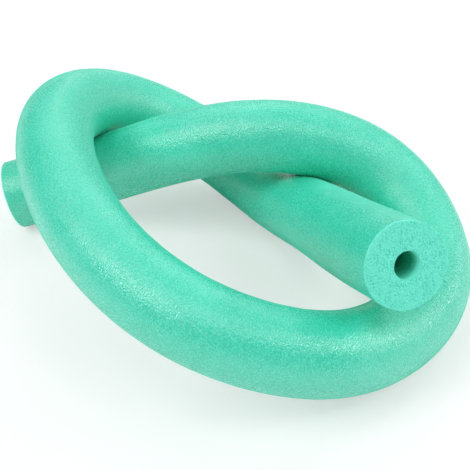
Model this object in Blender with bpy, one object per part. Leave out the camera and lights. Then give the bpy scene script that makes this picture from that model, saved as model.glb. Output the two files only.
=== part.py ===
"""A pool noodle: one extruded tube of closed-cell foam, tied in a loose overhand knot.

Metres, +Z up. The origin is on the floor, under the middle of the knot's box. The near end
points to -Y and the far end to -X. The real noodle is a single piece with nothing inside its
bore and nothing that moves, so the model is a single solid.
"""

import math

import bmesh
import bpy
import numpy as np

# Driving dimensions of the noodle
NOODLE_LENGTH = 1.6
NOODLE_DIAMETER = 0.065
BORE_DIAMETER = 0.02
CUT_EDGE_RADIUS = 0.0015
STRAND_GAP = 0.0005
FLOOR_FLAT_DEPTH = 0.0005

# The way the knot is laid, from the near end to the far end. Each row is a place on the
# centreline: across and away from the viewer as shares of the knot's spread, which follows
# from the noodle's length, and then height above a strand that lies on the floor, as a share
# of the noodle's diameter. The strands press into each other a little where they cross.
ROUTE_SHARES = (
    (2.12, -2.35, 1.62),
    (1.70, -1.10, 1.05),
    (1.37, 0.16, 0.43),
    (0.85, 1.41, 0.01),
    (-0.19, 2.35, 0.31),
    (-1.42, 2.35, 0.95),
    (-2.04, 1.20, 1.43),
    (-1.89, -0.21, 1.42),
    (-1.24, -1.46, 1.18),
    (-0.16, -2.35, 0.85),
    (1.17, -2.45, 0.42),
    (2.31, -1.67, 0.05),
    (2.92, -0.40, 0.10),
    (2.45, 0.75, 0.70),
    (1.15, 1.00, 1.20),
    (-0.25, 1.15, 1.00),
    (-1.57, 1.42, 0.41),
    (-2.97, 1.38, -0.03),
)

# The three stretches that come down to the floor, as shares of the noodle's length: the dip
# behind the first crossing, the low side of the big loop, and the far end
RESTING_SHARES = ((0.08, 0.26), (0.52, 0.74), (0.94, 1.0))

# Places closer than this along the noodle are one strand, as a share of its diameter
ONE_STRAND_SHARE = 2.0

# Counts: facets, and rounds of laying the knot
OUTER_SIDES = 24
BORE_SIDES = OUTER_SIDES // 2
STATIONS = 112
CUT_EDGE_STEPS = 2
SAMPLES = 4 * STATIONS
LAYING_ROUNDS = 20

# Foam finish, with linear colour values
FOAM_COLOUR = (0.07, 0.56, 0.38, 1.0)
FOAM_ROUGHNESS = 0.5


def clear_scene():
    for thing in list(bpy.data.objects):
        bpy.data.objects.remove(thing, do_unlink=True)


def spline_through(waypoints):
    """Chord lengths and second derivatives of the natural cubic spline through the waypoints."""
    steps = np.linalg.norm(np.diff(waypoints, axis=0), axis=1)
    system = np.eye(len(waypoints))
    turning = np.zeros_like(waypoints)
    for i in range(1, len(steps)):
        before, after = steps[i - 1], steps[i]
        system[i, i - 1 : i + 2] = before, 2 * (before + after), after
        leaving = (waypoints[i + 1] - waypoints[i]) / after
        arriving = (waypoints[i] - waypoints[i - 1]) / before
        turning[i] = 6 * (leaving - arriving)
    return np.append(0, np.cumsum(steps)), np.linalg.solve(system, turning)


def spline_places(waypoints, chords, bends, at):
    """Places and unit directions on the spline, at the chord lengths asked for."""
    left = np.clip(np.searchsorted(chords, at, side="right") - 1, 0, len(chords) - 2)
    right = left + 1
    width = (chords[right] - chords[left])[:, None]
    far = (at - chords[left])[:, None] / width
    near = 1 - far
    bow = (near**3 - near) * bends[left] + (far**3 - far) * bends[right]
    lean = (3 * far**2 - 1) * bends[right] - (3 * near**2 - 1) * bends[left]
    places = near * waypoints[left] + far * waypoints[right] + bow * width**2 / 6
    slopes = (waypoints[right] - waypoints[left]) / width + lean * width / 6
    return places, slopes / np.linalg.norm(slopes, axis=1, keepdims=True)


def sampled(waypoints):
    """Closely spaced places and directions on the route, with their lengths along the noodle."""
    chords, bends = spline_through(waypoints)
    at = np.linspace(0, chords[-1], SAMPLES)
    places, directions = spline_places(waypoints, chords, bends, at)
    lengths = np.append(0, np.cumsum(np.linalg.norm(np.diff(places, axis=0), axis=1)))
    return places, directions, lengths, at


def floor_lean(places, directions, lengths):
    """The plane through the noodle's lowest place in each resting stretch, as z = a x + b y + c."""
    facet_reach = NOODLE_DIAMETER / 2 * math.cos(math.pi / OUTER_SIDES)
    undersides = places[:, 2] - facet_reach * np.sqrt(1 - directions[:, 2] ** 2)
    shares = lengths / lengths[-1]
    full_width = lengths <= lengths[-1] - CUT_EDGE_RADIUS
    rests = []
    for start, end in RESTING_SHARES:
        inside = np.flatnonzero((shares >= start) & (shares <= end) & full_width)
        rests.append(inside[undersides[inside].argmin()])
    plan = np.column_stack((places[rests, :2], np.ones(len(rests))))
    return np.linalg.solve(plan, undersides[rests])


def laid_waypoints():
    """The route's waypoints once the knot is as long as the noodle and its three lowest places
    stand on the floor."""
    shares = np.array(ROUTE_SHARES)
    spread = NOODLE_DIAMETER
    lean = np.zeros(3)
    for _ in range(LAYING_ROUNDS):
        plan = shares[:, :2] * spread
        under = np.column_stack((plan, np.ones(len(plan)))) @ lean
        waypoints = np.column_stack((plan, shares[:, 2] * NOODLE_DIAMETER - under))
        places, directions, lengths, _ = sampled(waypoints)
        spread *= NOODLE_LENGTH / lengths[-1]
        lean += floor_lean(places, directions, lengths)
    return waypoints - np.array((0, 0, FLOOR_FLAT_DEPTH))


def station_lengths():
    """Lengths along the noodle, and the outer radius there: full but for the rounded cut rims."""
    radius = NOODLE_DIAMETER / 2
    angles = np.linspace(0, math.pi / 2, CUT_EDGE_STEPS + 1)
    inset = CUT_EDGE_RADIUS * (1 - np.cos(angles))
    rim = radius - CUT_EDGE_RADIUS * (1 - np.sin(angles))
    body = np.linspace(CUT_EDGE_RADIUS, NOODLE_LENGTH - CUT_EDGE_RADIUS, STATIONS)[1:-1]
    lengths = np.concatenate((inset, body, NOODLE_LENGTH - inset[::-1]))
    radii = np.concatenate((rim, np.full(len(body), radius), rim[::-1]))
    return lengths, radii


def carried_frames(directions):
    """Two crosswise directions at each station, carried along the route without twisting."""
    side = np.cross(directions[0], (0, 0, 1))
    sides = []
    for direction in directions:
        side = side - direction * side.dot(direction)
        side /= np.linalg.norm(side)
        sides.append(side)
    sides = np.array(sides)
    return sides, np.cross(directions, sides)


def ring(centre, side, up, radius, count):
    turns = np.arange(count)[:, None] * 2 * math.pi / count
    return centre + radius * (np.cos(turns) * side + np.sin(turns) * up)


def pressed(rings, centres, lengths):
    """The outer rings, flattened where the foam of two strands presses together: each strand
    stops short of the plane midway between their centrelines."""
    apart = np.linalg.norm(centres[:, None] - centres[None], axis=2)
    apart[np.abs(lengths[:, None] - lengths[None]) < ONE_STRAND_SHARE * NOODLE_DIAMETER] = np.inf
    for outline, centre, other in zip(rings, centres, apart.argmin(axis=1)):
        across = centres[other] - centre
        distance = np.linalg.norm(across)
        across /= distance
        reach = (outline - centre) @ across
        spare = np.maximum(reach - (distance - STRAND_GAP) / 2, 0)
        outline -= spare[:, None] * across
    return rings


def add_wall(mesh, rings, outward):
    """Quads between neighbouring rings, facing out of the foam."""
    for first, second in zip(rings, rings[1:]):
        for i in range(len(first)):
            after = (i + 1) % len(first)
            corners = [first[i], first[after], second[after], second[i]]
            mesh.faces.new(corners if outward else corners[::-1])


def add_cut_end(mesh, outer, bore, facing_back):
    """The flat ring of foam at a cut end. Each side of the bore meets two outer sides."""
    for i in range(BORE_SIDES):
        after = (2 * i + 2) % OUTER_SIDES
        corners = [outer[2 * i], outer[2 * i + 1], outer[after]]
        corners += [bore[(i + 1) % BORE_SIDES], bore[i]]
        mesh.faces.new(corners[::-1] if facing_back else corners)


def stand_on_floor(mesh):
    """Cuts the undersides flat at z = 0 and closes them."""
    everything = mesh.verts[:] + mesh.edges[:] + mesh.faces[:]
    cut = bmesh.ops.bisect_plane(
        mesh, geom=everything, plane_co=(0, 0, 0), plane_no=(0, 0, 1), clear_inner=True
    )
    rims = [item for item in cut["geom_cut"] if isinstance(item, bmesh.types.BMEdge)]
    bmesh.ops.edgeloop_fill(mesh, edges=rims)


def centre_in_plan(mesh):
    for axis in range(2):
        values = [vertex.co[axis] for vertex in mesh.verts]
        middle = (min(values) + max(values)) / 2
        for vertex in mesh.verts:
            vertex.co[axis] -= middle


def noodle_mesh():
    waypoints = laid_waypoints()
    _, _, lengths, at = sampled(waypoints)
    stations, radii = station_lengths()
    chords, bends = spline_through(waypoints)
    asked = np.interp(stations, lengths, at)
    centres, directions = spline_places(waypoints, chords, bends, asked)
    sides, ups = carried_frames(directions)

    frames = list(zip(centres, sides, ups))
    outsides = [ring(*frame, radius, OUTER_SIDES) for frame, radius in zip(frames, radii)]
    outsides = pressed(outsides, centres, stations)
    insides = [ring(*frame, BORE_DIAMETER / 2, BORE_SIDES) for frame in frames]

    mesh = bmesh.new()
    outer_rings = [[mesh.verts.new(point) for point in outline] for outline in outsides]
    bore_rings = [[mesh.verts.new(point) for point in outline] for outline in insides]
    add_wall(mesh, outer_rings, outward=True)
    add_wall(mesh, bore_rings, outward=False)
    add_cut_end(mesh, outer_rings[0], bore_rings[0], facing_back=True)
    add_cut_end(mesh, outer_rings[-1], bore_rings[-1], facing_back=False)
    stand_on_floor(mesh)
    centre_in_plan(mesh)
    bmesh.ops.recalc_face_normals(mesh, faces=mesh.faces)
    return mesh


def foam_material():
    material = bpy.data.materials.new("closed_cell_foam")
    material.use_nodes = True
    shader = material.node_tree.nodes["Principled BSDF"]
    shader.inputs["Base Color"].default_value = FOAM_COLOUR
    shader.inputs["Roughness"].default_value = FOAM_ROUGHNESS
    shader.inputs["Metallic"].default_value = 0.0
    return material


def add_noodle():
    built = noodle_mesh()
    data = bpy.data.meshes.new("foam_noodle")
    built.to_mesh(data)
    built.free()
    data.materials.append(foam_material())
    data.shade_smooth()
    data.set_sharp_from_angle(angle=math.radians(40))
    noodle = bpy.data.objects.new("foam_noodle", data)
    bpy.context.scene.collection.objects.link(noodle)
    return noodle


clear_scene()
add_noodle()
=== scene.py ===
"""The looks of the knotted pool noodle, in metres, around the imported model.

The tube of foam is laid again along the same route, with a fine mesh: a skin with the small
unevenness of extruded foam, flats where it touches the floor and itself, rough cut ends with
soft rims, and an open bore. Its three finishes, skin, cut foam and bore wall, are procedural.
"""

import math

import bpy
import numpy as np
from mathutils import Euler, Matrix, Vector, noise


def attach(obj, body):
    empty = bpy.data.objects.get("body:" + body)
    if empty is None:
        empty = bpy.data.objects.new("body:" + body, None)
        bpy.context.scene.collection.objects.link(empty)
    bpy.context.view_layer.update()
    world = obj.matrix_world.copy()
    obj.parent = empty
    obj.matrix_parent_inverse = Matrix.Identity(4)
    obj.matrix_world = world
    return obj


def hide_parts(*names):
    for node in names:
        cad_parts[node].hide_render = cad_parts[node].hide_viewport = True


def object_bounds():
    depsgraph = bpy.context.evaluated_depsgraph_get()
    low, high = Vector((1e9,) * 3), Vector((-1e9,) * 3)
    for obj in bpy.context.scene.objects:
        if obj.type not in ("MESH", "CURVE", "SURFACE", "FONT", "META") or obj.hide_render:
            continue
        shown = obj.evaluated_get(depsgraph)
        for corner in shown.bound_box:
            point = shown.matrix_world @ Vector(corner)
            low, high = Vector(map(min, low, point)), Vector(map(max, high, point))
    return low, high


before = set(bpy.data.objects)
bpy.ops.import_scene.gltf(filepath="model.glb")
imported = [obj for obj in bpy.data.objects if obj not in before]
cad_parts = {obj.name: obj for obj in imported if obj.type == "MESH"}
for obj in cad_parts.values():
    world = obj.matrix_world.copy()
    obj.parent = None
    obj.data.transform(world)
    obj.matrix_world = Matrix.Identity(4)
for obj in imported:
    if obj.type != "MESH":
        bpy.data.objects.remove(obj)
CAD_LOW, CAD_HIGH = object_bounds()

# The noodle's own sizes
NOODLE_LENGTH = 1.6
NOODLE_DIAMETER = 0.065
BORE_DIAMETER = 0.02
CUT_EDGE_RADIUS = 0.0013
# What is left between two strands that press each other, and how deep the flats on the floor are
STRAND_GAP = 0.0005
FLOOR_FLAT_DEPTH = 0.0005

# The route from the near end to the far end: across and away from the viewer as shares of the
# knot's spread, then height above a strand on the floor as a share of the noodle's diameter
ROUTE_SHARES = (
    (2.12, -2.35, 1.62),
    (1.70, -1.10, 1.05),
    (1.37, 0.16, 0.46),
    (0.85, 1.41, 0.01),
    (-0.19, 2.35, 0.31),
    (-1.42, 2.35, 0.95),
    (-2.04, 1.20, 1.43),
    (-1.89, -0.21, 1.42),
    (-1.24, -1.46, 1.18),
    (-0.16, -2.35, 0.85),
    (1.17, -2.45, 0.42),
    (2.31, -1.67, 0.05),
    (2.92, -0.40, 0.10),
    (2.45, 0.75, 0.67),
    (1.15, 1.00, 1.18),
    (-0.25, 1.15, 1.00),
    (-1.57, 1.42, 0.41),
    (-2.97, 1.38, -0.03),
)
# The stretches that come down to the floor, as shares of the noodle's length
RESTING_SHARES = ((0.08, 0.26), (0.52, 0.74), (0.94, 1.0))
# Places closer than this along the noodle are one strand, as a share of its diameter
ONE_STRAND_SHARE = 2.0
# Rounds of laying the knot, and how many places along its route its length is measured at
LAYING_ROUNDS = 20
SAMPLES = 448

# Counts of the fine mesh
SIDES = 96
TURNS = np.arange(SIDES) * 2 * math.pi / SIDES
SKIN_STATIONS = 720
BORE_STATIONS = 150
RIM_STEPS = 4
FACE_RINGS = 15
# The mesh's material numbers, and its attribute for each point's place on the straight noodle
SKIN, CUT, BORE = range(3)
STRAIGHT = "straight"

# Unevenness of the foam: how high, and how wide apart, in metres
WOBBLE_HEIGHT, WOBBLE_SPACING = 0.00022, 0.11
LUMP_HEIGHT, LUMP_SPACING = 0.00016, 0.016
PEBBLE_HEIGHT, PEBBLE_SPACING = 0.00007, 0.0052
CUT_HEIGHT, CUT_SPACING = 0.00014, 0.0040
BORE_HEIGHT, BORE_SPACING = 0.00022, 0.0036
# The squash of both ends, which fades along the noodle, from noise taken a metre away
END_SQUASH_HEIGHT, END_SQUASH_REACH, END_SQUASH_SHIFT = 0.00035, 0.05, 1.0
# The dent in the near end's rim: its turn round the noodle, its spread round it, its depth, and
# how far it reaches along the noodle
DENT_TURN, DENT_SPREAD, DENT_DEPTH, DENT_REACH = -0.95, 0.55, 0.0009, 0.014
# The worn lip of the bore's mouths: its middle's turn, how far it opens, and how deep it goes
LIP_TURN, LIP_HEIGHT, LIP_REACH = 0.2, 0.0005, 0.0022
# How gently the foam turns into its flats against another strand and against the floor
SOFT_CONTACT = 0.0006
SOFT_FLOOR = 0.0004

# The camera, fitted to the photograph's outlines. FOCAL_PIXELS is in the photograph's frame.
IMAGE_PIXELS = 470
FOCAL_PIXELS = 900
SENSOR_WIDTH_MM = 36
CAMERA_PLACE = (0.0100, -0.6334, 0.5239)
CAMERA_PITCH_DEGREES = 36.86


def spline_through(waypoints):
    """Chord lengths and second derivatives of the natural cubic spline through the waypoints."""
    steps = np.linalg.norm(np.diff(waypoints, axis=0), axis=1)
    system = np.eye(len(waypoints))
    turning = np.zeros_like(waypoints)
    for i in range(1, len(steps)):
        before, after = steps[i - 1], steps[i]
        system[i, i - 1 : i + 2] = before, 2 * (before + after), after
        leaving = (waypoints[i + 1] - waypoints[i]) / after
        arriving = (waypoints[i] - waypoints[i - 1]) / before
        turning[i] = 6 * (leaving - arriving)
    return np.append(0, np.cumsum(steps)), np.linalg.solve(system, turning)


def spline_places(waypoints, chords, bends, at):
    """Places and unit directions on the spline, at the chord lengths asked for."""
    left = np.clip(np.searchsorted(chords, at, side="right") - 1, 0, len(chords) - 2)
    right = left + 1
    width = (chords[right] - chords[left])[:, None]
    far = (at - chords[left])[:, None] / width
    near = 1 - far
    bow = (near**3 - near) * bends[left] + (far**3 - far) * bends[right]
    lean = (3 * far**2 - 1) * bends[right] - (3 * near**2 - 1) * bends[left]
    places = near * waypoints[left] + far * waypoints[right] + bow * width**2 / 6
    slopes = (waypoints[right] - waypoints[left]) / width + lean * width / 6
    return places, slopes / np.linalg.norm(slopes, axis=1, keepdims=True)


def sampled(waypoints):
    """Closely spaced places and directions on the route, with their lengths along the noodle."""
    chords, bends = spline_through(waypoints)
    at = np.linspace(0, chords[-1], SAMPLES)
    places, directions = spline_places(waypoints, chords, bends, at)
    lengths = np.append(0, np.cumsum(np.linalg.norm(np.diff(places, axis=0), axis=1)))
    return places, directions, lengths, at


def floor_lean(places, directions, lengths):
    """The plane through the lowest place of each resting stretch, as z = a x + b y + c."""
    undersides = places[:, 2] - NOODLE_DIAMETER / 2 * np.sqrt(1 - directions[:, 2] ** 2)
    shares = lengths / lengths[-1]
    full_width = lengths <= lengths[-1] - CUT_EDGE_RADIUS
    rests = []
    for start, end in RESTING_SHARES:
        inside = np.flatnonzero((shares >= start) & (shares <= end) & full_width)
        rests.append(inside[undersides[inside].argmin()])
    plan = np.column_stack((places[rests, :2], np.ones(len(rests))))
    return np.linalg.solve(plan, undersides[rests])


def laid_waypoints():
    """The route's waypoints once the knot is as long as the noodle and stands on the floor."""
    shares = np.array(ROUTE_SHARES)
    spread = NOODLE_DIAMETER
    lean = np.zeros(3)
    for _ in range(LAYING_ROUNDS):
        plan = shares[:, :2] * spread
        under = np.column_stack((plan, np.ones(len(plan)))) @ lean
        waypoints = np.column_stack((plan, shares[:, 2] * NOODLE_DIAMETER - under))
        places, directions, lengths, _ = sampled(waypoints)
        spread *= NOODLE_LENGTH / lengths[-1]
        lean += floor_lean(places, directions, lengths)
    return waypoints - np.array((0, 0, FLOOR_FLAT_DEPTH))


class Route:
    """The laid centreline, with crosswise directions carried along it without twisting."""

    def __init__(self):
        self.waypoints = laid_waypoints()
        self.chords, self.bends = spline_through(self.waypoints)
        places, directions, self.lengths, self.at = sampled(self.waypoints)
        side = np.cross(directions[0], (0, 0, 1))
        sides = []
        for direction in directions:
            side = side - direction * side.dot(direction)
            side /= np.linalg.norm(side)
            sides.append(side)
        self.sides = np.array(sides)

    def frames(self, lengths):
        """Places on the centreline, directions along it, and two crosswise directions."""
        asked = np.interp(lengths, self.lengths, self.at)
        places, directions = spline_places(self.waypoints, self.chords, self.bends, asked)
        sides = np.stack([np.interp(lengths, self.lengths, column) for column in self.sides.T], 1)
        sides -= directions * (sides * directions).sum(axis=1, keepdims=True)
        sides /= np.linalg.norm(sides, axis=1, keepdims=True)
        return places, directions, sides, np.cross(directions, sides)


def unevenness(points, spacing):
    """Smooth noise from about -1 to 1 at each point, with bumps this far apart."""
    flat = points.reshape(-1, 3) / spacing
    values = [noise.noise(Vector(point)) for point in flat]
    return np.array(values).reshape(points.shape[:-1])


def off_turn(turn):
    """How far each side of a ring is from a turn, in radians either way."""
    return np.angle(np.exp(1j * (TURNS - turn)))


def raised(straight, relief):
    """The straight noodle's points, moved out from its middle line by the relief."""
    across = straight[..., 1:]
    out = across / np.linalg.norm(across, axis=2, keepdims=True)
    return np.concatenate((straight[..., :1], across + out * relief[..., None]), axis=2)


def straight_points(lengths, radii):
    """Where each grid point lies on the straight noodle before tying: along, then across."""
    radii = np.broadcast_to(radii, (len(lengths), SIDES))
    along = np.broadcast_to(np.asarray(lengths)[:, None], radii.shape)
    return np.stack([along, radii * np.cos(TURNS), radii * np.sin(TURNS)], axis=2)


def tied(route, straight):
    """The straight noodle's grid points, carried onto the knot's route."""
    places, directions, sides, ups = route.frames(straight[:, 0, 0])
    offset = straight[..., 0] - straight[:, :1, 0]
    laid = places[:, None] + straight[..., 1:2] * sides[:, None]
    laid += straight[..., 2:3] * ups[:, None] + offset[..., None] * directions[:, None]
    return laid, places


def skin_grid(route):
    """The outer skin: uneven, with round rims, and pressed flat against other strands."""
    angles = np.linspace(0, math.pi / 2, RIM_STEPS + 1)
    inset = CUT_EDGE_RADIUS * (1 - np.cos(angles))
    drop = CUT_EDGE_RADIUS * (1 - np.sin(angles))
    body = np.linspace(CUT_EDGE_RADIUS, NOODLE_LENGTH - CUT_EDGE_RADIUS, SKIN_STATIONS)[1:-1]
    lengths = np.concatenate((inset, body, NOODLE_LENGTH - inset[::-1]))
    drops = np.concatenate((drop, np.zeros(len(body)), drop[::-1]))
    straight = straight_points(lengths, (NOODLE_DIAMETER / 2 - drops)[:, None])

    relief = WOBBLE_HEIGHT * unevenness(straight, WOBBLE_SPACING)
    relief += LUMP_HEIGHT * unevenness(straight, LUMP_SPACING)
    relief += PEBBLE_HEIGHT * unevenness(straight, PEBBLE_SPACING)
    to_end = np.minimum(lengths, NOODLE_LENGTH - lengths)[:, None]
    squash = unevenness(straight + END_SQUASH_SHIFT, NOODLE_DIAMETER / 2)
    relief += END_SQUASH_HEIGHT * squash * np.exp(-to_end / END_SQUASH_REACH)
    dent = np.exp(-((off_turn(DENT_TURN) / DENT_SPREAD) ** 2))
    relief -= DENT_DEPTH * dent * np.exp(-((lengths[:, None] / DENT_REACH) ** 2))
    straight = raised(straight, relief)

    laid, places = tied(route, straight)
    return pressed(laid, places, lengths), straight


def pressed(laid, places, lengths):
    """The skin, softly flattened short of the plane midway to the nearest other strand."""
    apart = np.linalg.norm(places[:, None] - places[None], axis=2)
    apart[np.abs(lengths[:, None] - lengths[None]) < ONE_STRAND_SHARE * NOODLE_DIAMETER] = np.inf
    other = apart.argmin(axis=1)
    across = places[other] - places
    distance = np.linalg.norm(across, axis=1, keepdims=True)
    across /= distance
    reach = ((laid - places[:, None]) * across[:, None]).sum(axis=2)
    over = reach - (distance - STRAND_GAP) / 2
    spare = (over + np.sqrt(over**2 + SOFT_CONTACT**2)) / 2
    return laid - spare[..., None] * across[:, None]


def bore_grid(route):
    """The bore's wall, a little uneven, with closer rings near its two mouths."""
    shares = np.linspace(-1, 1, BORE_STATIONS)
    lengths = NOODLE_LENGTH / 2 * (1 + np.sin(shares * math.pi / 2))
    straight = straight_points(lengths, BORE_DIAMETER / 2)
    relief = BORE_HEIGHT * unevenness(straight, BORE_SPACING)
    to_end = np.minimum(lengths, NOODLE_LENGTH - lengths)[:, None]
    lip = (1 + np.cos(off_turn(LIP_TURN))) / 2
    relief += LIP_HEIGHT * lip * np.exp(-to_end / LIP_REACH)
    straight = raised(straight, relief)
    return tied(route, straight)[0], straight


def cut_rings(skin, skin_straight, bore, bore_straight, end):
    """The rings of a cut end between its bore and its rim, roughened by the blade."""
    shares = np.linspace(0, 1, FACE_RINGS + 2)[1:-1, None, None]
    inner, outer = bore[end], skin[end]
    rings = inner[None] * (1 - shares) + outer[None] * shares
    straight = bore_straight[end][None] * (1 - shares) + skin_straight[end][None] * shares
    normal = np.cross(outer[SIDES // 4] - inner[0], outer[0] - inner[0])
    normal /= np.linalg.norm(normal)
    rough = CUT_HEIGHT * unevenness(straight, CUT_SPACING)
    return rings + rough[..., None] * normal, straight


def grid_faces(first, rows, outward):
    """Quads between rows of points, each row a closed ring, numbered from first."""
    row, column = np.meshgrid(np.arange(rows - 1), np.arange(SIDES), indexing="ij")
    after = (column + 1) % SIDES
    corners = [row * SIDES + column, row * SIDES + after]
    corners += [(row + 1) * SIDES + after, (row + 1) * SIDES + column]
    quads = first + np.stack(corners, axis=2).reshape(-1, 4)
    return quads if outward else quads[:, ::-1]


def cut_quads(bore_ring, firsts, rim):
    """Quads from ring to ring of a cut end: the bore's last ring, the rings between, the rim."""
    order = [bore_ring, *firsts, rim]
    column = np.arange(SIDES)
    after = (column + 1) % SIDES
    quads = []
    for low, high in zip(order, order[1:]):
        quads.append(np.stack([low + column, low + after, high + after, high + column], axis=1))
    return np.concatenate(quads)


def noodle_mesh(route):
    """One closed mesh of skin, cut ends and bore, with each point's straight place."""
    skin, skin_straight = skin_grid(route)
    bore, bore_straight = bore_grid(route)
    points = [skin.reshape(-1, 3), bore.reshape(-1, 3)]
    straights = [skin_straight.reshape(-1, 3), bore_straight.reshape(-1, 3)]
    bore_first = len(points[0])
    count = bore_first + len(points[1])
    skin_faces = grid_faces(0, len(skin), outward=True)
    bore_faces = grid_faces(bore_first, len(bore), outward=False)
    cut_faces = []
    for end in (0, -1):
        rings, ring_straights = cut_rings(skin, skin_straight, bore, bore_straight, end)
        firsts = count + np.arange(FACE_RINGS) * SIDES
        count += FACE_RINGS * SIDES
        points.append(rings.reshape(-1, 3))
        straights.append(ring_straights.reshape(-1, 3))
        bore_ring = bore_first + (len(bore) - 1) * SIDES if end else bore_first
        rim = (len(skin) - 1) * SIDES if end else 0
        quads = cut_quads(bore_ring, firsts, rim)
        cut_faces.append(quads[:, ::-1] if end else quads)
    cut_faces = np.concatenate(cut_faces)

    places = np.concatenate(points)
    places[:, 2] = (places[:, 2] + np.sqrt(places[:, 2] ** 2 + SOFT_FLOOR**2)) / 2
    low, high = places.min(axis=0), places.max(axis=0)
    shift = (np.array(CAD_LOW) + np.array(CAD_HIGH) - low - high) / 2
    places[:, :2] += shift[:2]

    mesh = bpy.data.meshes.new("noodle_skin")
    faces = np.concatenate((skin_faces, cut_faces, bore_faces))
    mesh.from_pydata(places.tolist(), [], faces.tolist())
    kinds = np.repeat((SKIN, CUT, BORE), (len(skin_faces), len(cut_faces), len(bore_faces)))
    # The rounded rims, at both ends of the skin's grid, are cut foam too
    rim_faces = RIM_STEPS * SIDES
    kinds[:rim_faces] = CUT
    kinds[len(skin_faces) - rim_faces : len(skin_faces)] = CUT
    mesh.polygons.foreach_set("material_index", kinds.astype(np.int32))
    straight = mesh.attributes.new(STRAIGHT, "FLOAT_VECTOR", "POINT")
    straight.data.foreach_set("vector", np.concatenate(straights).astype(np.float32).ravel())
    mesh.validate()
    mesh.update()
    mesh.shade_smooth()
    return mesh


MM_PER_M = 1000
# The colour sockets of Blender's Mix node, whose names it also gives to others
MIX_FIRST, MIX_SECOND, MIX_RESULT = 6, 7, 2

# Linear colours of the foam
SKIN_LIGHT = (0.080, 0.732, 0.538, 1)
SKIN_DEEP = (0.012, 0.578, 0.378, 1)
CUT_LIGHT = (0.162, 0.830, 0.655, 1)
CUT_DEEP = (0.038, 0.565, 0.405, 1)
CUT_RIM = (0.180, 0.790, 0.640, 1)
BORE_LIGHT = (0.080, 0.680, 0.480, 1)
BORE_DEEP = (0.040, 0.540, 0.360, 1)

# The foam's cells, and how much closer the skin's grain is along the noodle than across it
CELL_SPACING_MM, CELL_SOFTNESS = 1.6, 0.3
SKIN_SQUEEZE = 1.5
# Noises: spacing in millimetres, finer layers, and how strong these are
SKIN_GRAIN = (1.6, 1, 0.6)
SKIN_MOTTLE = (34.0, 3, 0.5)
CUT_GRAIN = (1.3, 2, 0.6)
CUT_MOTTLE = (5.0, 2, 0.5)
CUT_FLECKS = (1.1, 1, 0.5)
BORE_GRAIN = (1.6, 3, 0.6)
# Ranges: a value between the first two numbers becomes one between the last two. The rim's is of
# metres from the noodle's middle, and that of the painted light at the bore's mouths is of metres
# from a cut end.
# The skin's specks are partly painted shade: dark in the valleys between the pebbles, light on
# their tops
SKIN_SPECK_AND_SHADE_RANGE = (0.20, 0.54, 1.0, 0.0)
SKIN_MOTTLE_RANGE = (0.3, 0.7, 0.0, 0.35)
SKIN_EDGE_RANGE = (0.65, 0.95, 0.10, 0.80)
SKIN_GLOSS_RANGE = (0.40, 0.58, 0.45, 0.16)
CUT_SPECK_RANGE = (0.38, 0.60, 0.0, 1.0)
CUT_MOTTLE_RANGE = (0.40, 0.60, 0.0, 0.6)
CUT_FLECK_RANGE = (0.62, 0.70, 0.0, 0.6)
CUT_RIM_RANGE = (NOODLE_DIAMETER / 2 - 0.002, NOODLE_DIAMETER / 2, 0.0, 0.6)
BORE_SPECK_RANGE = (0.35, 0.65, 0.0, 1.0)
BORE_MOUTH_LIGHT_RANGE = (0.002, 0.012, 1.0, 0.0)
# Relief that only the shading has, in millimetres
SKIN_CELL_DEPTH, SKIN_GRAIN_DEPTH = 0.33, 0.24
CUT_CELL_DEPTH, CUT_GRAIN_DEPTH = 0.30, 0.30
BORE_GRAIN_DEPTH = 0.3
# Gloss
SKIN_SPECULAR, SKIN_IOR = 1.0, 1.56
CUT_ROUGHNESS, BORE_ROUGHNESS = 0.75, 0.6


def new_material(name):
    """A new material, its node tree and its Principled shader."""
    material = bpy.data.materials.new(name)
    material.use_nodes = True
    tree = material.node_tree
    return material, tree, tree.nodes["Principled BSDF"]


def add_node(tree, kind, inputs=None, **settings):
    """A new node, with its inputs set to values or linked to other nodes' outputs."""
    node = tree.nodes.new(kind)
    for name, value in settings.items():
        setattr(node, name, value)
    for name, value in (inputs or {}).items():
        if isinstance(value, bpy.types.NodeSocket):
            tree.links.new(value, node.inputs[name])
        else:
            node.inputs[name].default_value = value
    return node


def calculated(tree, operation, first, second):
    """The result of arithmetic with two values or outputs."""
    return add_node(tree, "ShaderNodeMath", {0: first, 1: second}, operation=operation).outputs[0]


def straight_vector(tree, scale):
    """The place on the straight noodle, along and then across it, times a scale for each."""
    source = add_node(tree, "ShaderNodeAttribute", attribute_name=STRAIGHT).outputs["Vector"]
    inputs = {0: source, 1: scale}
    return add_node(tree, "ShaderNodeVectorMath", inputs, operation="MULTIPLY").outputs["Vector"]


def straight_place(tree, squeeze=1.0):
    """The place on the straight noodle in millimetres, for grain squeezed along it so much."""
    return straight_vector(tree, (MM_PER_M * squeeze, MM_PER_M, MM_PER_M))


def from_cut_end(tree):
    """The distance along the noodle from its nearer cut end, in metres."""
    source = add_node(tree, "ShaderNodeAttribute", attribute_name=STRAIGHT).outputs["Vector"]
    along = add_node(tree, "ShaderNodeSeparateXYZ", {0: source}).outputs["X"]
    return calculated(tree, "MINIMUM", along, calculated(tree, "SUBTRACT", NOODLE_LENGTH, along))


def from_middle(tree):
    """The distance from the straight noodle's middle line, in metres."""
    across = {0: straight_vector(tree, (0, 1, 1))}
    return add_node(tree, "ShaderNodeVectorMath", across, operation="LENGTH").outputs["Value"]


def grain(tree, place, spacing_mm, detail, roughness):
    """Noise from 0 to 1."""
    inputs = {"Vector": place, "Scale": 1 / spacing_mm, "Detail": detail, "Roughness": roughness}
    return add_node(tree, "ShaderNodeTexNoise", inputs).outputs["Fac"]


def cells(tree, place):
    """The distance from the middles of the foam's cells, as a share of their spacing."""
    inputs = {"Vector": place, "Scale": 1 / CELL_SPACING_MM, "Smoothness": CELL_SOFTNESS}
    return add_node(tree, "ShaderNodeTexVoronoi", inputs, feature="SMOOTH_F1").outputs["Distance"]


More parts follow.
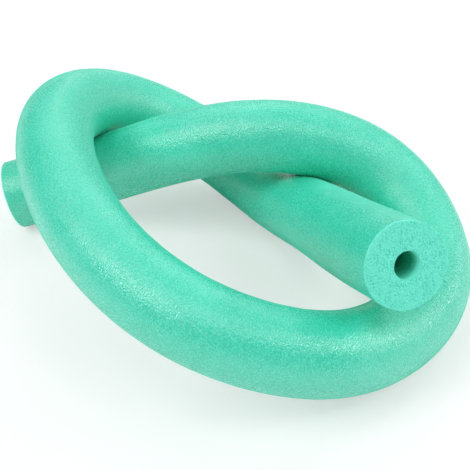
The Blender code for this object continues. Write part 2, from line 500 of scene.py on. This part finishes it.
def ranged(tree, value, low, high, to_low, to_high):
    """A value from low to high turned into one from to_low to to_high, and no further."""
    inputs = {0: value, 1: low, 2: high, 3: to_low, 4: to_high}
    return add_node(tree, "ShaderNodeMapRange", inputs).outputs[0]


def mixed_colour(tree, factor, first, second):
    """The first colour where the factor is 0, and the second where it is 1."""
    inputs = {0: factor, MIX_FIRST: first, MIX_SECOND: second}
    return add_node(tree, "ShaderNodeMix", inputs, data_type="RGBA").outputs[MIX_RESULT]


def bumped(tree, height, depth_mm, normal=None, invert=False):
    """The shading normal of relief this deep, on top of another if there is one."""
    inputs = {"Height": height, "Distance": depth_mm / MM_PER_M}
    if normal is not None:
        inputs["Normal"] = normal
    return add_node(tree, "ShaderNodeBump", inputs, invert=invert).outputs["Normal"]


def seen_or_not(tree, unseen, seen):
    """One value where the camera looks straight at this, and another for the light it gives."""
    straight_on = add_node(tree, "ShaderNodeLightPath").outputs["Is Camera Ray"]
    return ranged(tree, straight_on, 0.0, 1.0, unseen, seen)


def skin_material():
    """Extruded closed-cell skin: a satin film over fine pebbles, a little stretched across."""
    material, tree, shader = new_material("foam_skin")
    place = straight_place(tree, SKIN_SQUEEZE)
    even = straight_place(tree)
    pebbles = cells(tree, place)
    fine = grain(tree, place, *SKIN_GRAIN)
    mottle = grain(tree, even, *SKIN_MOTTLE)
    # Partly painted shade: the specks darken the valleys between the pebbles and lighten their
    # tops, along with the foam's own speckled tone
    specks = ranged(tree, pebbles, *SKIN_SPECK_AND_SHADE_RANGE)
    colour = mixed_colour(tree, specks, SKIN_DEEP, SKIN_LIGHT)
    shade = mixed_colour(tree, ranged(tree, mottle, *SKIN_MOTTLE_RANGE), colour, SKIN_LIGHT)
    tree.links.new(shade, shader.inputs["Base Color"])
    turned = add_node(tree, "ShaderNodeLayerWeight").outputs["Facing"]
    edge = ranged(tree, turned, *SKIN_EDGE_RANGE)
    worn = ranged(tree, fine, *SKIN_GLOSS_RANGE)
    tree.links.new(calculated(tree, "MAXIMUM", worn, edge), shader.inputs["Roughness"])
    shader.inputs["Specular IOR Level"].default_value = SKIN_SPECULAR
    shader.inputs["IOR"].default_value = SKIN_IOR
    normal = bumped(tree, pebbles, SKIN_CELL_DEPTH, invert=True)
    normal = bumped(tree, fine, SKIN_GRAIN_DEPTH, normal)
    tree.links.new(normal, shader.inputs["Normal"])
    return material


def cut_material():
    """Foam cut by a blade: matt, paler, mottled, with open cells and a few darker flecks."""
    material, tree, shader = new_material("cut_foam")
    place = straight_place(tree)
    open_cells = cells(tree, place)
    fine = grain(tree, place, *CUT_GRAIN)
    mottle = grain(tree, place, *CUT_MOTTLE)
    specks = ranged(tree, fine, *CUT_SPECK_RANGE)
    colour = mixed_colour(tree, specks, CUT_DEEP, CUT_LIGHT)
    shade = mixed_colour(tree, ranged(tree, mottle, *CUT_MOTTLE_RANGE), colour, CUT_LIGHT)
    flecks = ranged(tree, grain(tree, place, *CUT_FLECKS), *CUT_FLECK_RANGE)
    flecked = mixed_colour(tree, flecks, shade, SKIN_DEEP)
    rim = ranged(tree, from_middle(tree), *CUT_RIM_RANGE)
    tree.links.new(mixed_colour(tree, rim, flecked, CUT_RIM), shader.inputs["Base Color"])
    shader.inputs["Roughness"].default_value = CUT_ROUGHNESS
    normal = bumped(tree, open_cells, CUT_CELL_DEPTH)
    normal = bumped(tree, fine, CUT_GRAIN_DEPTH, normal)
    tree.links.new(normal, shader.inputs["Normal"])
    return material


def bore_material():
    """The bore's wall: the same foam, left rough by the die's pin, with painted light near its
    mouths.
    """
    material, tree, shader = new_material("bore_wall")
    place = straight_place(tree)
    fine = grain(tree, place, *BORE_GRAIN)
    colour = mixed_colour(tree, ranged(tree, fine, *BORE_SPECK_RANGE), BORE_DEEP, BORE_LIGHT)
    # Painted light: near each cut end the wall takes the cut face's light colour, where light
    # reaches in
    mouth_light = ranged(tree, from_cut_end(tree), *BORE_MOUTH_LIGHT_RANGE)
    tree.links.new(mixed_colour(tree, mouth_light, colour, CUT_LIGHT), shader.inputs["Base Color"])
    shader.inputs["Roughness"].default_value = BORE_ROUGHNESS
    tree.links.new(bumped(tree, fine, BORE_GRAIN_DEPTH), shader.inputs["Normal"])
    return material


def add_object(name, data):
    """A new object in the scene."""
    added = bpy.data.objects.new(name, data)
    bpy.context.scene.collection.objects.link(added)
    return added


def add_noodle():
    """The noodle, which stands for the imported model's only node."""
    noodle = add_object("noodle_skin", noodle_mesh(Route()))
    for material in (skin_material(), cut_material(), bore_material()):
        noodle.data.materials.append(material)
    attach(noodle, "root")
    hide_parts("foam_noodle")


FLOOR_HALF = 3.0
FLOOR_CORNERS = ((-1, -1), (1, -1), (1, 1), (-1, 1))
FLOOR_COLOUR = (0.96, 0.96, 0.96, 1)
FLOOR_ROUGHNESS, FLOOR_SPECULAR = 0.9, 0.1
# Painted light: how much of what the camera sees of the floor is a glow that only the camera
# sees, which pales the shadows on it
FLOOR_PAINTED_GLOW = 0.5
WHITE = (1, 1, 1, 1)
# The air's light on the noodle, and how bright the air itself looks beyond the floor
WORLD_STRENGTH, WORLD_SHOWN = 0.20, 0.97
LIGHT_DISTANCE = 4.0
# The softboxes, each with its bearing and height in degrees, seen from the noodle with the viewer
# at -90, its width and depth in metres, and its watts
SOFTBOXES = {
    "left_key": (-152, 42, 2.2, 1.5, 57),
    "left_high": (-150, 68, 1.2, 1.2, 20),
    "right_strip": (4, 23, 2.4, 0.4, 46),
    "right_upper": (38, 46, 0.6, 0.6, 11),
    "right_high": (-34, 54, 1.1, 1.1, 26),
    "front_high": (-90, 60, 1.4, 1.4, 10),
    "front_low": (-95, 12, 1.4, 1.4, 3),
    "back_right": (60, 30, 1.4, 1.4, 9),
    "back_middle": (90, 30, 1.4, 1.4, 17),
    "back_left": (125, 43, 1.4, 1.4, 12),
    "back_high": (100, 60, 1.4, 1.4, 11),
}
# The sky over the studio, which shows in no gloss: its width in degrees and its strength
SKY_WIDTH, SKY_STRENGTH = 110, 0.6


def add_floor():
    """A pale floor for the noodle to stand on, which isn't part of it."""
    mesh = bpy.data.meshes.new("studio_floor")
    corners = [(x * FLOOR_HALF, y * FLOOR_HALF, 0) for x, y in FLOOR_CORNERS]
    mesh.from_pydata(corners, [], [(0, 1, 2, 3)])
    floor = add_object("studio_floor", mesh)
    material, tree, shader = new_material("studio_paper")
    shader.inputs["Base Color"].default_value = FLOOR_COLOUR
    shader.inputs["Roughness"].default_value = FLOOR_ROUGHNESS
    shader.inputs["Specular IOR Level"].default_value = FLOOR_SPECULAR
    # Painted light: a glow that only the camera sees and that lights nothing, which pales the
    # floor's shadows
    painted_glow = add_node(tree, "ShaderNodeEmission", {"Color": FLOOR_COLOUR}).outputs["Emission"]
    share = seen_or_not(tree, unseen=0.0, seen=FLOOR_PAINTED_GLOW)
    shaders = {0: share, 1: shader.outputs["BSDF"], 2: painted_glow}
    mixed = add_node(tree, "ShaderNodeMixShader", shaders).outputs[0]
    tree.links.new(mixed, tree.nodes["Material Output"].inputs["Surface"])
    mesh.materials.append(material)


def add_air():
    """Pale air all round."""
    world = bpy.data.worlds.new("studio_air")
    world.use_nodes = True
    tree = world.node_tree
    background = tree.nodes["Background"]
    background.inputs["Color"].default_value = WHITE
    strength = seen_or_not(tree, unseen=WORLD_STRENGTH, seen=WORLD_SHOWN)
    tree.links.new(strength, background.inputs["Strength"])
    bpy.context.scene.world = world


def add_lights():
    """The softboxes, each turned towards the noodle, and the sky."""
    for name, (bearing, height, width, depth, watts) in SOFTBOXES.items():
        data = bpy.data.lights.new(name, "AREA")
        data.shape = "RECTANGLE"
        data.size, data.size_y = width, depth
        data.energy = watts
        light = add_object(name, data)
        turn = Euler((0, -math.radians(height), math.radians(bearing)))
        light.location = turn.to_matrix() @ Vector((LIGHT_DISTANCE, 0, 0))
        light.rotation_euler = (-light.location).to_track_quat("-Z", "Y").to_euler()
    data = bpy.data.lights.new("studio_sky", "SUN")
    data.angle = math.radians(SKY_WIDTH)
    data.energy = SKY_STRENGTH
    sky = add_object("studio_sky", data)
    sky.location = (0, 0, LIGHT_DISTANCE)
    sky.visible_glossy = False


def add_camera():
    """The camera where the photograph was taken from, level from side to side."""
    data = bpy.data.cameras.new("photo_camera")
    data.sensor_width = SENSOR_WIDTH_MM
    data.lens = FOCAL_PIXELS / IMAGE_PIXELS * SENSOR_WIDTH_MM
    camera = add_object("photo_camera", data)
    camera.location = CAMERA_PLACE
    camera.rotation_euler = (math.radians(90 - CAMERA_PITCH_DEGREES), 0, 0)
    bpy.context.scene.camera = camera


add_camera()
add_air()
add_lights()
add_floor()
add_noodle()
bpy.context.scene.view_settings.view_transform = "Standard"
